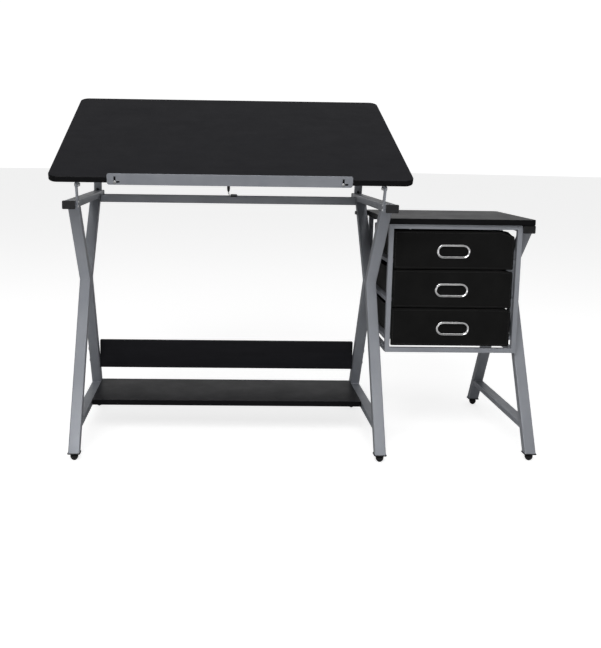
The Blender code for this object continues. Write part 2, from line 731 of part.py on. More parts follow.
def convert_to_cutter(curve_object):
    """Replaces a curve with the same shape as a closed mesh, in the cutters' collection."""
    bpy.context.view_layer.update()
    graph = bpy.context.evaluated_depsgraph_get()
    mesh = bpy.data.meshes.new_from_object(curve_object.evaluated_get(graph))
    shape = bmesh.new()
    shape.from_mesh(mesh)
    bmesh.ops.remove_doubles(shape, verts=shape.verts, dist=0.00001)
    bmesh.ops.recalc_face_normals(shape, faces=shape.faces)
    shape.to_mesh(mesh)
    shape.free()
    name = curve_object.name
    parent = curve_object.parent
    local = curve_object.matrix_local.copy()
    bpy.data.objects.remove(curve_object, do_unlink=True)
    cutter = add_object(name, mesh, None, local, parent, CUTTERS)
    cutter.hide_render = True
    cutter.display_type = "WIRE"
    return cutter


base()
cross_members()
TILT_AXIS = tilting_top()
pivot_posts()
stays()
front_ledge(TILT_AXIS)
release_lever(TILT_AXIS)
side_table()
cabinet()
drawers()
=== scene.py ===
"""Looks for the drafting table: fine meshes, procedural finishes, light and the camera.

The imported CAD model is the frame. Every place and size comes from its boxes, in metres.
"""

import json
import math

import bmesh
import bpy
from mathutils import Matrix, Vector, noise


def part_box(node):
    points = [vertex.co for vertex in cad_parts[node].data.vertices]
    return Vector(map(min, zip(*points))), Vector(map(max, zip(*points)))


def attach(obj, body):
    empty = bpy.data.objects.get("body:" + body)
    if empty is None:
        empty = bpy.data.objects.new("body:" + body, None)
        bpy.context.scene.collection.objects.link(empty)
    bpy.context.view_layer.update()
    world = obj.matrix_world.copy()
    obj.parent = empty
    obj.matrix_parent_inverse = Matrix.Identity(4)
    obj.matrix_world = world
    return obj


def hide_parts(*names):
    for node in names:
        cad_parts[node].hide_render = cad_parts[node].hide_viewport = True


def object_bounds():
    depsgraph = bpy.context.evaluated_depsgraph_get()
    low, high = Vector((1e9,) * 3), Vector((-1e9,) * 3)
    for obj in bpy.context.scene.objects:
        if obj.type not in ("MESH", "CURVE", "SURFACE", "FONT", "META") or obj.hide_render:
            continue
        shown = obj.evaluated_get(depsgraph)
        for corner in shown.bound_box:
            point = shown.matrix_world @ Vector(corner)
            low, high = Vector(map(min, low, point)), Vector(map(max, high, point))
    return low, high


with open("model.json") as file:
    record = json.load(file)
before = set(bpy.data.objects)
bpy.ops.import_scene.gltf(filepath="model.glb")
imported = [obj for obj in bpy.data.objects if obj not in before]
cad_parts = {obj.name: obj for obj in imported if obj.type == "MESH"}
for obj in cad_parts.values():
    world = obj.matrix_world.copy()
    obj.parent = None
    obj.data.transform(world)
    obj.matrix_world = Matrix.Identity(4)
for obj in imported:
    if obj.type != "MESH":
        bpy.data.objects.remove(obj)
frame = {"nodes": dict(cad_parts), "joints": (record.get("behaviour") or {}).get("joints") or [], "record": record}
CAD_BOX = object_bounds()

TURN = 2 * math.pi
QUARTER = math.pi / 2
STILL = Matrix.Identity(4)
MM = 0.001
SHARP_ANGLE = math.radians(38)
RIGHT = Vector((1, 0, 0))
BACK = Vector((0, 1, 0))
UP = Vector((0, 0, 1))

JOINTS = {joint["name"]: joint for joint in frame["joints"]}
MOUNTS = {mount["name"]: mount for mount in frame["record"]["mounts"]}
TOP_NORMAL = Vector(MOUNTS["work_surface"]["axis"])
TILT = math.atan2(-TOP_NORMAL.y, TOP_NORMAL.z)
TOP_AXES = Matrix.Translation(JOINTS["tilt"]["pos_m"]) @ Matrix.Rotation(TILT, 4, "X")
# In these axes X stays, Y is world Z and Z is world -Y.
UPRIGHT = Matrix.Rotation(QUARTER, 4, "X")


# ---- camera, stage and light

CAMERA_PLACE = Vector((-0.2208, -2.3584, 0.8116))
CAMERA_YAW = math.radians(1.294)
CAMERA_PITCH = math.radians(7.864)
CAMERA_ROLL = math.radians(0.816)
CAMERA_LENS = 46.87
CAMERA_SHIFT = (0.1018, -0.0909)

FRONT_GLOW = 0.42
REAR_GLOW = 0.95
CEILING_SHARE = 0.30
FLOOR_ALBEDO = 0.55
FLOOR_GLOW = 0.76
BACKDROP_GLOW = 1.05
WHITE = (1.0, 1.0, 1.0, 1.0)


def add_object(name, data):
    made = bpy.data.objects.new(name, data)
    bpy.context.scene.collection.objects.link(made)
    return made


def add_node(tree, kind, inputs=None, **settings):
    """A shader node. Each of its inputs gets a value, or the socket that feeds it."""
    made = tree.nodes.new(kind)
    for key, value in settings.items():
        setattr(made, key, value)
    for key, value in (inputs or {}).items():
        if isinstance(value, bpy.types.NodeSocket):
            tree.links.new(value, made.inputs[key])
        else:
            made.inputs[key].default_value = value
    return made


def add_camera():
    data = bpy.data.cameras.new("camera")
    data.lens = CAMERA_LENS
    data.shift_x, data.shift_y = CAMERA_SHIFT
    data.clip_end = 100
    camera = add_object("camera", data)
    turn = Matrix.Rotation(-CAMERA_YAW, 4, "Z") @ Matrix.Rotation(QUARTER - CAMERA_PITCH, 4, "X")
    camera.matrix_world = Matrix.Translation(CAMERA_PLACE) @ turn @ Matrix.Rotation(CAMERA_ROLL, 4, "Z")
    bpy.context.scene.camera = camera


def add_area_light(name, place, target, size, power):
    data = bpy.data.lights.new(name, "AREA")
    data.shape = "RECTANGLE"
    data.size, data.size_y = size
    data.energy = power
    light = add_object(name, data)
    light.location = place
    light.rotation_euler = (Vector(target) - Vector(place)).to_track_quat("-Z", "Y").to_euler()


def add_world():
    """White behind the object. For light, a bright rear horizon, dimmer sides and a dark front."""
    world = bpy.data.worlds.new("studio")
    bpy.context.scene.world = world
    world.use_nodes = True
    tree = world.node_tree
    direction = add_node(tree, "ShaderNodeTexCoord").outputs["Generated"]
    parts = add_node(tree, "ShaderNodeSeparateXYZ", {0: direction}).outputs
    spread = {"Value": parts["Y"], "From Min": -0.2, "From Max": 0.9}
    spread |= {"To Min": FRONT_GLOW, "To Max": REAR_GLOW}
    behind = add_node(tree, "ShaderNodeMapRange", spread, interpolation_type="SMOOTHSTEP")
    limits = {"Value": parts["Z"], "From Min": 0.24, "From Max": 0.36}
    limits |= {"To Min": 1.0, "To Max": CEILING_SHARE}
    overhead = add_node(tree, "ShaderNodeMapRange", limits)
    factors = {0: behind.outputs["Result"], 1: overhead.outputs["Result"]}
    level = add_node(tree, "ShaderNodeMath", factors, operation="MULTIPLY").outputs[0]
    glow = add_node(tree, "ShaderNodeBackground", {"Color": WHITE, "Strength": level}).outputs[0]
    backdrop = add_node(tree, "ShaderNodeBackground", {"Color": WHITE, "Strength": BACKDROP_GLOW}).outputs[0]
    seen = add_node(tree, "ShaderNodeLightPath").outputs["Is Camera Ray"]
    chosen = add_node(tree, "ShaderNodeMixShader", {0: seen, 1: glow, 2: backdrop}).outputs[0]
    tree.links.new(chosen, tree.nodes["World Output"].inputs["Surface"])


def add_floor():
    """A white floor that shows soft shadows. It glows a little, so that it is as white as the backdrop."""
    shape = bmesh.new()
    bmesh.ops.create_circle(shape, cap_ends=True, segments=96, radius=30.0)
    mesh = mesh_from(shape, "floor")
    floor = add_object("floor", mesh)
    paper = bpy.data.materials.new("studio_floor")
    paper.use_nodes = True
    tree = paper.node_tree
    shader = tree.nodes["Principled BSDF"]
    shader.inputs["Base Color"].default_value = (*[FLOOR_ALBEDO] * 3, 1.0)
    shader.inputs["Roughness"].default_value = 0.9
    shader.inputs["Specular IOR Level"].default_value = 0.0
    shader.inputs["Emission Color"].default_value = WHITE
    seen = add_node(tree, "ShaderNodeLightPath").outputs["Is Camera Ray"]
    glow = add_node(tree, "ShaderNodeMath", {0: seen, 1: FLOOR_GLOW}, operation="MULTIPLY")
    tree.links.new(glow.outputs[0], shader.inputs["Emission Strength"])
    mesh.materials.append(paper)


def add_studio():
    add_world()
    add_floor()
    middle = (CAD_BOX[0] + CAD_BOX[1]) / 2
    add_area_light("key", middle + Vector((-0.6, -2.9, 2.3)), middle, (2.4, 1.6), 85)
    add_area_light("overhead", middle + Vector((0.0, -0.8, 3.4)), middle, (3.0, 2.0), 40)
    add_area_light("low_fill", (-0.1, -1.7, 0.35), (0.1, 0.1, 0.55), (1.8, 0.3), 2.5)
    bpy.context.scene.view_settings.view_transform = "Standard"


# ---- finishes


class Finish:
    """A Principled material with colour, roughness and relief from textures in the object's own axes."""

    def __init__(self, name, metallic=0.0, **constants):
        self.material = bpy.data.materials.new(name)
        self.material.use_nodes = True
        self.tree = self.material.node_tree
        self.shader = self.tree.nodes["Principled BSDF"]
        self.shader.inputs["Metallic"].default_value = metallic
        for socket, value in constants.items():
            self.shader.inputs[socket.replace("_", " ")].default_value = value
        self.place = self.node("ShaderNodeTexCoord").outputs["Object"]

    def node(self, kind, inputs=None, **settings):
        return add_node(self.tree, kind, inputs, **settings)

    def scaled(self, stretch):
        return self.node("ShaderNodeMapping", {"Vector": self.place, "Scale": stretch}).outputs["Vector"]

    def noise(self, scale, detail=3.0, rough=0.55, place=None):
        inputs = {"Vector": place or self.place, "Scale": scale, "Detail": detail, "Roughness": rough}
        return self.node("ShaderNodeTexNoise", inputs).outputs["Fac"]

    def cells(self, scale):
        return self.node("ShaderNodeTexVoronoi", {"Vector": self.place, "Scale": scale}).outputs["Distance"]

    def math(self, operation, first, second):
        return self.node("ShaderNodeMath", {0: first, 1: second}, operation=operation).outputs[0]

    def range(self, value, low, high, start=0.3, end=0.7):
        inputs = {"Value": value, "From Min": start, "From Max": end, "To Min": low, "To Max": high}
        return self.node("ShaderNodeMapRange", inputs).outputs["Result"]

    def colour(self, value, stops):
        """Maps a value to colours given as (position, red, green, blue)."""
        ramp = self.node("ShaderNodeValToRGB", {"Fac": value})
        elements = ramp.color_ramp.elements
        elements.remove(elements[1])
        for index, (position, *rgb) in enumerate(stops):
            element = elements[0] if index == 0 else elements.new(position)
            element.position = position
            element.color = (*rgb, 1.0)
        self.tree.links.new(ramp.outputs["Color"], self.shader.inputs["Base Color"])

    def roughness(self, value, low, high):
        self.tree.links.new(self.range(value, low, high), self.shader.inputs["Roughness"])

    def relief(self, *layers):
        """Stacks bumps given as (height, depth in metres, strength)."""
        normal = None
        for height, depth, strength in layers:
            inputs = {"Height": height, "Distance": depth, "Strength": strength}
            if normal:
                inputs["Normal"] = normal
            normal = self.node("ShaderNodeBump", inputs).outputs["Normal"]
        self.tree.links.new(normal, self.shader.inputs["Normal"])


def silver_paint():
    """Satin silver-grey powder coat: fine flake, orange peel and patches that are darker towards the floor."""
    made = Finish("silver_powder_coat", metallic=0.25, Specular_IOR_Level=0.45)
    height = made.node("ShaderNodeSeparateXYZ", {"Vector": made.place}).outputs["Z"]
    # Patches of the coat are darkened towards the floor, fading out by about 12 cm up.
    low_darkening = made.math("MULTIPLY", made.range(height, 1.0, 0.0, 0.02, 0.12), made.noise(38.0, 5.0))
    flake = made.math("MULTIPLY", made.noise(2600.0, 1.0), 0.16)
    clouds = made.math("ADD", made.noise(7.0), flake)
    shown = made.math("SUBTRACT", clouds, made.math("MULTIPLY", low_darkening, 0.30))
    dark = (0.228, 0.240, 0.268)
    middle = (0.268, 0.280, 0.308)
    light = (0.300, 0.312, 0.340)
    made.colour(shown, ((0.25, *dark), (0.55, *middle), (0.85, *light)))
    made.roughness(made.noise(24.0, 6.0, 0.65), 0.38, 0.52)
    made.relief((made.noise(420.0, 2.0), 0.00012, 0.30), (made.noise(1800.0, 1.0), 0.00004, 0.25))
    return made.material


def charcoal_laminate():
    """Charcoal laminate with a fine pebbled press texture, faint streaks and handling marks."""
    made = Finish("charcoal_laminate", Specular_IOR_Level=0.12)
    streaks = made.noise(6.0, 6.0, 0.7, made.scaled((1.0, 9.0, 9.0)))
    speckle = made.math("MULTIPLY", made.cells(900.0), 0.20)
    tone = made.math("ADD", streaks, speckle)
    stops = ((0.3, 0.0062, 0.0062, 0.0080), (0.6, 0.0080, 0.0080, 0.0102), (0.85, 0.0104, 0.0104, 0.0130))
    made.colour(tone, stops)
    made.roughness(made.noise(9.0, 7.0, 0.7), 0.40, 0.50)
    made.relief((made.cells(700.0), 0.00010, 0.45), (made.noise(160.0, 4.0), 0.00006, 0.25))
    return made.material


def edge_band():
    """The smooth black band that is ironed on to the boards' edges."""
    made = Finish("black_edge_band", Specular_IOR_Level=0.08)
    lines = made.noise(60.0, 3.0, 0.5, made.scaled((1.0, 1.0, 40.0)))
    made.colour(lines, ((0.3, 0.0032, 0.0032, 0.0038), (0.7, 0.0056, 0.0056, 0.0064)))
    made.roughness(made.noise(30.0, 5.0), 0.34, 0.50)
    made.relief((lines, 0.00008, 0.25), (made.noise(900.0), 0.00003, 0.2))
    return made.material


def board_backing():
    """The plain dark backing sheet under the boards, with fibres and scuffs."""
    made = Finish("board_backing", Specular_IOR_Level=0.25)
    fibres = made.noise(220.0, 5.0, 0.75, made.scaled((1.0, 4.0, 1.0)))
    made.colour(fibres, ((0.3, 0.020, 0.019, 0.020), (0.6, 0.030, 0.029, 0.030), (0.9, 0.055, 0.052, 0.050)))
    made.roughness(made.noise(18.0, 6.0), 0.62, 0.80)
    made.relief((fibres, 0.00012, 0.4),)
    return made.material


def moulded_plastic():
    """Black moulded plastic with a fine spark texture."""
    made = Finish("moulded_plastic", Specular_IOR_Level=0.3)
    made.colour(made.noise(45.0, 5.0), ((0.3, 0.0060, 0.0060, 0.0066), (0.7, 0.0110, 0.0110, 0.0118)))
    made.roughness(made.noise(70.0, 6.0), 0.42, 0.60)
    made.relief((made.cells(1500.0), 0.00007, 0.5), (made.noise(260.0), 0.00005, 0.2))
    return made.material


def drawer_cloth():
    """Black coarse-woven polyester: a plain weave with slubs and a dull sheen."""
    made = Finish("drawer_cloth", Specular_IOR_Level=0.10, Sheen_Weight=0.04, Sheen_Roughness=0.55)
    threads_per_metre = 900.0
    parts = made.node("ShaderNodeSeparateXYZ", {"Vector": made.place})
    waves = []
    for axis in "XYZ":
        phase = made.math("MULTIPLY", parts.outputs[axis], threads_per_metre * TURN)
        waves.append(made.math("SINE", phase, 0.0))
    weave = made.math("ADD", made.math("ADD", waves[0], waves[1]), waves[2])
    slubs = made.noise(240.0, 4.0, 0.7, made.scaled((1.0, 1.0, 3.0)))
    uneven = made.math("MULTIPLY", made.math("SUBTRACT", slubs, 0.5), 0.5)
    clouds = made.math("ADD", made.noise(16.0, 5.0), uneven)
    dark, light = 0.0034, 0.0070
    made.colour(clouds, ((0.25, dark, dark, dark), (0.75, light, light, light * 0.98)))
    made.roughness(slubs, 0.80, 0.95)
    made.relief((made.range(weave, 0.0, 1.0, -3.0, 3.0), 0.00018, 0.55), (slubs, 0.00020, 0.40))
    return made.material


def thread():
    """Black sewing thread, a little glossier than the cloth."""
    made = Finish("sewing_thread", Specular_IOR_Level=0.35, Sheen_Weight=0.2)
    twist = made.noise(1500.0, 2.0, 0.5, made.scaled((1.0, 1.0, 2.0)))
    made.colour(twist, ((0.3, 0.012, 0.012, 0.012), (0.7, 0.026, 0.026, 0.026)))
    made.roughness(twist, 0.5, 0.7)
    made.relief((twist, 0.00010, 0.5),)
    return made.material


def polished_chrome():
    """Bright plating with faint wipe marks."""
    made = Finish("polished_chrome", metallic=1.0)
    wipes = made.noise(60.0, 6.0, 0.7, made.scaled((1.0, 1.0, 6.0)))
    made.colour(wipes, ((0.3, 0.70, 0.70, 0.71), (0.7, 0.86, 0.86, 0.86)))
    made.roughness(wipes, 0.07, 0.20)
    made.relief((made.noise(500.0, 3.0), 0.00002, 0.25),)
    return made.material


def zinc_plate():
    """Bright zinc on fasteners, slightly mottled."""
    made = Finish("zinc_plate", metallic=1.0)
    mottle = made.noise(180.0, 5.0, 0.6)
    made.colour(mottle, ((0.3, 0.46, 0.47, 0.49), (0.55, 0.56, 0.56, 0.56), (0.8, 0.64, 0.63, 0.60)))
    made.roughness(made.noise(320.0, 4.0), 0.26, 0.44)
    made.relief((made.noise(900.0, 2.0), 0.00004, 0.4),)
    return made.material


PAINT = silver_paint()
LAMINATE = charcoal_laminate()
BAND = edge_band()
BACKING = board_backing()
PLASTIC = moulded_plastic()
CLOTH = drawer_cloth()
THREAD = thread()
CHROME = polished_chrome()
ZINC = zinc_plate()


# ---- shapes


def corners_of(node):
    return [vertex.co for vertex in frame["nodes"][node].data.vertices]


def local_box(node, axes):
    """A CAD node's lowest and highest corners in turned axes."""
    back = axes.inverted()
    points = [back @ corner for corner in corners_of(node)]
    low = Vector([min(point[i] for point in points) for i in range(3)])
    high = Vector([max(point[i] for point in points) for i in range(3)])
    return low, high


def facing(low, high, way):
    """The X of a box's right side for a way of 1, or of its left side for -1."""
    return high.x if way > 0 else low.x


def rounded_rectangle(width, height, radius, steps, centre=(0.0, 0.0)):
    """A rectangle with round corners, counter-clockwise from its right side."""
    points = []
    for side_x, side_y, start in ((1, 1, 0), (-1, 1, 1), (-1, -1, 2), (1, -1, 3)):
        middle_x = centre[0] + side_x * (width / 2 - radius)
        middle_y = centre[1] + side_y * (height / 2 - radius)
        for step in range(steps + 1):
            angle = QUARTER * (start + step / steps)
            points.append(Vector((middle_x + radius * math.cos(angle), middle_y + radius * math.sin(angle))))
    return points


def evenly(outline, count):
    """The same closed outline as points at equal steps along it, from its middle right."""
    start = max(range(len(outline)), key=lambda i: outline[i].x - abs(outline[i].y) * 0.001)
    corners = outline[start:] + outline[:start] + [outline[start]]
    lengths = [(b - a).length for a, b in zip(corners, corners[1:])]
    total = sum(lengths)
    points = []
    index, passed = 0, 0.0
    for step in range(count):
        wanted = total * step / count
        while index < len(lengths) - 1 and passed + lengths[index] < wanted:
            passed += lengths[index]
            index += 1
        share = (wanted - passed) / max(lengths[index], 1e-9)
        points.append(corners[index].lerp(corners[index + 1], share))
    return points


def inset_rings(width, depth, corner, profile, steps):
    """Level rings of a rectangle with round corners, each given as (inset, height)."""
    rings = []
    for inset, height in profile:
        outline = rounded_rectangle(width - 2 * inset, depth - 2 * inset, corner - inset, steps)
        rings.append(level_ring(outline, height))
    return rings


def level_ring(outline, height):
    return [Vector((point[0], point[1], height)) for point in outline]


def polar_ring(radius_at, height, steps=64):
    """A level ring whose radius depends on its angle."""
    ring = []
    for index in range(steps):
        angle = TURN * index / steps
        radius = radius_at(angle)
        ring.append(Vector((radius * math.cos(angle), radius * math.sin(angle), height)))
    return ring


def circle(radius, height, steps=32):
    return polar_ring(lambda angle: radius, height, steps)


def ring_about(centre, side, other, radius, steps):
    """A circle round a centre, in the plane of two directions."""
    turns = [TURN * i / steps for i in range(steps)]
    return [centre + (side * math.cos(turn) + other * math.sin(turn)) * radius for turn in turns]


def mesh_from(shape, name):
    mesh = bpy.data.meshes.new(name)
    shape.to_mesh(mesh)
    shape.free()
    return mesh


def skin(shape, rings, loop=False, strips=None, cap_materials=(0, 0)):
    """A skin over rings of corners, in a loop or with caps. strips gives each strip's material index."""
    made = [[shape.verts.new(point) for point in ring] for ring in rings]
    pairs = list(zip(made, made[1:])) + ([(made[-1], made[0])] if loop else [])
    for index, (first, second) in enumerate(pairs):
        for at in range(len(first)):
            beside = (at + 1) % len(first)
            face = shape.faces.new((first[at], first[beside], second[beside], second[at]))
            face.material_index = strips[index] if strips else 0
    if not loop:
        shape.faces.new(list(reversed(made[0]))).material_index = cap_materials[0]
        shape.faces.new(made[-1]).material_index = cap_materials[1]


def loft_mesh(name, rings, **options):
    shape = bmesh.new()
    skin(shape, rings, **options)
    bmesh.ops.remove_doubles(shape, verts=shape.verts, dist=1e-7)
    bmesh.ops.recalc_face_normals(shape, faces=shape.faces)
    return mesh_from(shape, name)


def add_piece(name, mesh, materials, body, slot, place=STILL, stands_for=()):
    """Puts a mesh in the scene as a piece that rides on a CAD body."""
    mesh.shade_smooth()
    mesh.set_sharp_from_angle(angle=SHARP_ANGLE)
    if not mesh.materials:
        for material in materials:
            mesh.materials.append(material)
    piece = add_object(name, mesh)
    piece.matrix_world = place
    piece.modifiers.new("even_normals", "WEIGHTED_NORMAL").keep_sharp = True
    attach(piece, body)
    if stands_for:
        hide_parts(*stands_for)
    return piece


def tube_along(path, radius, steps, ripple=0.0, pitch=0.002):
    """Rings round a path. A ripple makes the scalloped surface of a weld."""
    rings = []
    travelled = 0.0
    side = None
    for index, point in enumerate(path):
        behind = path[max(index - 1, 0)]
        run = (path[min(index + 1, len(path) - 1)] - behind).normalized()
        if side is None:
            side = run.orthogonal().normalized()
        side = (side - run * side.dot(run)).normalized()
        travelled += (point - behind).length
        here = radius * (1 + ripple * math.sin(TURN * travelled / pitch))
        rings.append(ring_about(point, side, run.cross(side), here, steps))
    return rings


def refined(node, body="base", edge=0.0):
    """A painted CAD node's own shape with merged corners, even shading and, where asked, softened edges."""
    shape = bmesh.new()
    shape.from_mesh(frame["nodes"][node].data)
    bmesh.ops.remove_doubles(shape, verts=shape.verts, dist=2e-6)
    bmesh.ops.dissolve_limit(shape, angle_limit=math.radians(0.6), verts=shape.verts, edges=shape.edges)
    mesh = mesh_from(shape, node)
    mesh.materials.clear()
    piece = add_piece(f"{node}_shell", mesh, [PAINT], body, "silver_paint", stands_for=[node])
    if edge:
        soft = piece.modifiers.new("edge", "BEVEL")
        soft.width = edge
        soft.segments = 2
        soft.limit_method = "ANGLE"
        soft.angle_limit = math.radians(50)
        soft.harden_normals = True


# ---- boards


def board(name, node, body, corner, rim, axes=STILL, corner_steps=12):
    """A laminated board: pressed faces, a rounded ironed-on band and a hairline seam where they meet."""
    low, high = local_box(node, axes)
    size = high - low
    centre = (low + high) / 2
    half = size.z / 2
    seam_depth, seam_width = 0.00022, 0.0004
    arc_steps = 4
    arc = []
    for step in range(arc_steps + 1):
        angle = QUARTER * step / arc_steps
        arc.append((rim * (1 - math.sin(angle)), half - rim * (1 - math.cos(angle))))
    seam = [(0.0, half - rim - seam_width), (seam_depth, half - rim - 1.5 * seam_width)]
    seam += [(0.0, half - rim - 2 * seam_width)]
    upper = arc + seam
    profile = upper + [(inset, -height) for inset, height in reversed(upper)]
    rings = inset_rings(size.x, size.y, corner, profile, corner_steps)
    laminate_strips = 2
    strips = [0] * laminate_strips + [1] * (len(rings) - 1 - laminate_strips)
    mesh = loft_mesh(name, rings, strips=strips, cap_materials=(0, 2))
    place = axes @ Matrix.Translation(centre)
    return add_piece(name, mesh, [LAMINATE, BAND, BACKING], body, "charcoal_board", place, [node])


def boards():
    board("main_board", "main_top", "tilting_top", 0.024, 0.0022, TOP_AXES, 20)
    board("side_board", "side_top", "base", 0.012, 0.0016)
    board("shelf_board", "lower_shelf", "base", 0.002, 0.0010, corner_steps=4)
    board("back_board", "back_panel", "base", 0.002, 0.0010, UPRIGHT, corner_steps=4)


# ---- steel frame

SIDES = ("left", "middle", "right")
CABINET_FRAMES = ("cabinet_front_frame", "cabinet_rear_frame")


def tubes():
    for side in SIDES:
        for part in ("side_tube", "front_leg", "rear_leg", "foot_rail"):
            refined(f"{side}_{part}")
    refined("rear_rail")
    for side in ("left", "right"):
        refined(f"{side}_pivot_post")
        refined(f"{side}_stay_guide", f"{side}_guide", 0.0008)
        refined(f"{side}_stay_bar", f"{side}_stay")
        refined(f"{side}_top_angle", "tilting_top", 0.0006)
        refined(f"cabinet_{side}_runners", edge=0.0010)
    for node in CABINET_FRAMES:
        refined(node)


BEAD = 0.0014
BEAD_INSET = 0.0012
BEAD_STEP = 0.0008
# A leg's bend is further than this from both its ends.
BEND_REACH = 0.1


def straight(start, end):
    count = max(2, round((end - start).length / BEAD_STEP))
    return [start.lerp(end, i / count) for i in range(count + 1)]


def add_welds(name, runs):
    """Rippled weld beads along straight runs, in one piece."""
    shape = bmesh.new()
    for start, end in runs:
        skin(shape, tube_along(straight(start, end), BEAD, 8, ripple=0.18, pitch=0.0024))
    bmesh.ops.recalc_face_normals(shape, faces=shape.faces)
    add_piece(name, mesh_from(shape, name), [PAINT], "base", "silver_paint")


def across(box, y, z):
    """A run over the width of a tube at one place."""
    return Vector((box[0].x + BEAD_INSET, y, z)), Vector((box[1].x - BEAD_INSET, y, z))


def y_range(corners, level):
    """The lowest and highest Y of the corners at one level."""
    line = [point.y for point in corners if abs(point.z - level) < MM]
    return min(line), max(line)


def leg_shape(node):
    """A leg's lowest and highest level, its corners, and those of them at its bend."""
    corners = corners_of(node)
    bottom = min(point.z for point in corners)
    top = max(point.z for point in corners)
    bend = [point for point in corners if bottom + BEND_REACH < point.z < top - BEND_REACH]
    return bottom, top, corners, bend


def leg_middle(node, z):
    """The Y of a leg's middle at one height."""
    bottom, top, corners, bend = leg_shape(node)
    bend_y = (min(point.y for point in bend) + max(point.y for point in bend)) / 2
    bend_z = sum(point.z for point in bend) / len(bend)
    end = bottom if z < bend_z else top
    end_y = sum(y_range(corners, end)) / 2
    return end_y + (bend_y - end_y) * (z - end) / (bend_z - end)


def welds():
    for side in SIDES:
        runs = []
        for end, sign in (("front", -1), ("rear", 1)):
            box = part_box(f"{side}_{end}_leg")
            _, top, corners, bend = leg_shape(f"{side}_{end}_leg")
            near, far = y_range(corners, top)
            proud = BEAD * 0.2
            runs += [across(box, near - proud, top), across(box, far + proud, top)]
            concave = max(bend, key=lambda point: sign * point.y)
            convex = min(bend, key=lambda point: sign * point.y)
            runs.append(across(box, concave.y - sign * proud, concave.z))
            for x in (box[0].x + BEAD * 0.3, box[1].x - BEAD * 0.3):
                first = Vector((x, convex.y, convex.z - 0.012))
                runs.append((first, first + UP * 0.024))
        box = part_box(f"{side}_foot_rail")
        for level in (box[0].z, box[1].z):
            for y in y_range(corners_of(f"{side}_foot_rail"), level):
                runs.append(across(box, y, level))
        add_welds(f"{side}_frame_welds", runs)
    runs = []
    for node in CABINET_FRAMES:
        low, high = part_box(node)
        tube = high.y - low.y
        for x in (low.x + tube, high.x - tube):
            for z in (low.z, high.z - tube):
                for y in (low.y + BEAD * 0.6, high.y - BEAD * 0.6):
                    foot = Vector((x, y, z + BEAD_INSET))
                    runs.append((foot, Vector((x, y, z + tube - BEAD_INSET))))
    add_welds("cabinet_welds", runs)


# ---- fasteners


def cross_radius(arm, half_width):
    """The radius of a plus shape at each angle."""

    def radius_at(angle):
        folded = (angle + QUARTER / 2) % QUARTER - QUARTER / 2
        along = arm / math.cos(folded)
        return min(along, half_width / max(abs(math.sin(folded)), 1e-6))

    return radius_at


def hexagon_radius(across_flats):
    sixth = TURN / 6
    return lambda angle: across_flats / 2 / math.cos((angle + sixth / 2) % sixth - sixth / 2)


def pan_head(radius, height):
    """A domed screw head on the XY plane, with a cross recess."""
    rings = [circle(radius, 0.0, 64), circle(radius, height * 0.35, 64)]
    for step in range(1, 5):
        angle = QUARTER * step / 5
        rings.append(circle(radius * math.cos(angle * 0.75), height * (0.35 + 0.65 * math.sin(angle)), 64))
    arm, half_width = radius * 0.52, radius * 0.12
    rings.append(polar_ring(cross_radius(arm, half_width), height))
    rings.append(polar_ring(cross_radius(arm * 0.6, half_width * 0.8), height * 0.25))
    return rings


def hex_head(across_flats, height, washer):
    """A hexagon head on a flat washer."""
    thick = 0.0012
    flats = hexagon_radius(across_flats)
    rings = []
    for share, level in ((0.97, 0.0), (1.0, thick * 0.3), (1.0, thick * 0.8), (0.95, thick)):
        rings.append(circle(washer * share, level, 64))
    rings += [polar_ring(flats, thick), polar_ring(flats, thick + height * 0.85)]
    rings.append(polar_ring(lambda angle: flats(angle) * 0.93, thick + height))
    rings.append(circle(across_flats * 0.30, thick + height, 64))
    rings.append(circle(across_flats * 0.27, thick + height * 0.9, 64))
    return rings


def barrel_nut(radius):
    """The slotted face of a cross dowel, just proud of a board."""
    half_length, half_width = radius * 0.8, radius * 0.14

    def slot(angle):
        along = half_length / max(abs(math.cos(angle)), 1e-6)
        return min(along, half_width / max(abs(math.sin(angle)), 1e-6))

    rings = [circle(radius, 0.0, 64), circle(radius, 0.0002, 64), circle(radius * 0.95, 0.0004, 64)]
    return rings + [polar_ring(slot, 0.0004), polar_ring(lambda angle: slot(angle) * 0.9, -0.0006)]


def fasteners(name, rings, places, body, material=ZINC, slot="zinc_steel", stands_for=()):
    """The same fastener at several places, each given as (point, outward direction)."""
    shape = bmesh.new()
    single = loft_mesh(name, rings)
    for index, (point, outward) in enumerate(places):
        turn = Vector(outward).to_track_quat("Z", "Y").to_matrix().to_4x4()
        spin = Matrix.Rotation(math.radians(25 + 47 * index), 4, "Z")
        copy = single.copy()
        copy.transform(Matrix.Translation(point) @ turn @ spin)
        shape.from_mesh(copy)
        bpy.data.meshes.remove(copy)
    bpy.data.meshes.remove(single)
    add_piece(name, mesh_from(shape, name), [material], body, slot, stands_for=stands_for)


